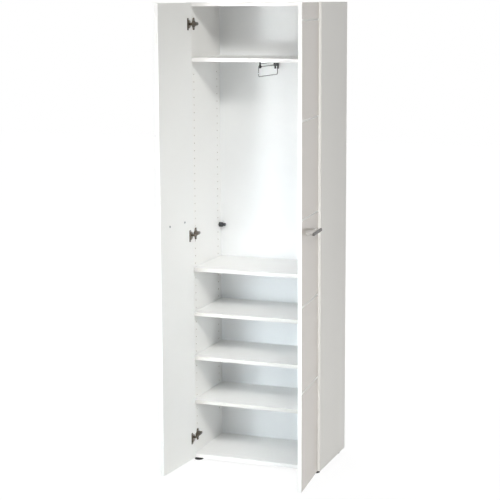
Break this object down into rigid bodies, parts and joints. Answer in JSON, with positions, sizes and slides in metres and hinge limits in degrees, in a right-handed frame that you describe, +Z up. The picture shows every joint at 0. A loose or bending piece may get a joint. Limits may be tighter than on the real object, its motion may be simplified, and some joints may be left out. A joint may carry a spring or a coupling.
{
  "type": "two-door wardrobe",
  "caption": "Tall narrow white hallway wardrobe with two open grooved doors, fixed and adjustable shelves, a pull-out clothes rail and a coat peg.",
  "frame": {"origin": "floor level, middle of the floor space taken up with the doors open", "axes": "+Z up, -Y the open front, +X to the right seen from the front"},
  "size_m": [0.67, 0.6387, 1.955],
  "materials": {
    "white_melamine_board": "white melamine face, fine satin",
    "white_hardboard": "white lacquered thin board",
    "gloss_door_film": "white high-gloss film on board",
    "satin_handle_metal": "satin",
    "nickel_hinge_steel": "nickel plated",
    "zinc_steel": "zinc plated",
    "black_glide_plastic": "moulded",
    "black_rail_plastic": "moulded",
    "chromed_rail_steel": "bright",
    "dark_peg_metal": "dark grey"
  },
  "bodies": {
    "carcass": {"adjustable_shelf_centre": "white_melamine_board", "adjustable_shelf_lower": "white_melamine_board", "adjustable_shelf_upper": "white_melamine_board", "back_panel": "white_hardboard", "bottom_panel": "white_melamine_board", "coat_peg": "dark_peg_metal", "floor_glides": "black_glide_plastic", "left_arm_screws": "zinc_steel", "left_hinge_arms": "nickel_hinge_steel", "left_hinge_plates": "nickel_hinge_steel", "left_plate_screws": "zinc_steel", "left_side_panel": "white_melamine_board", "middle_shelf": "white_melamine_board", "rail_front_bracket": "black_rail_plastic", "rail_rear_bracket": "black_rail_plastic", "rail_tie_rod": "chromed_rail_steel", "right_arm_screws": "zinc_steel", "right_hinge_arms": "nickel_hinge_steel", "right_hinge_plates": "nickel_hinge_steel", "right_plate_screws": "zinc_steel", "right_side_panel": "white_melamine_board", "shelf_support_pins": "zinc_steel", "top_panel": "white_melamine_board", "top_shelf": "white_melamine_board"},
    "left_door_leaf": {"left_cup_screws": "zinc_steel", "left_door": "gloss_door_film", "left_handle": "satin_handle_metal", "left_handle_screws": "zinc_steel", "left_hinge_cups": "nickel_hinge_steel"},
    "right_door_leaf": {"right_cup_screws": "zinc_steel", "right_door": "gloss_door_film", "right_handle": "satin_handle_metal", "right_handle_screws": "zinc_steel", "right_hinge_cups": "nickel_hinge_steel"},
    "clothes_rail": {"rail_loop": "chromed_rail_steel"}
  },
  "joints": [
    {"name": "left_door_swing", "type": "hinge", "parent": "carcass", "child": "left_door_leaf", "pos_m": [-0.2769, -0.0442, 1], "axis": [0, 0, 1], "range_deg": [0, 95]},
    {"name": "right_door_swing", "type": "hinge", "parent": "carcass", "child": "right_door_leaf", "pos_m": [0.2769, -0.0442, 1], "axis": [0, 0, -1], "range_deg": [0, 95]},
    {"name": "clothes_rail_slide", "type": "slide", "parent": "carcass", "child": "clothes_rail", "axis": [0, -1, 0], "range_m": [0, 0.05]}
  ]
}
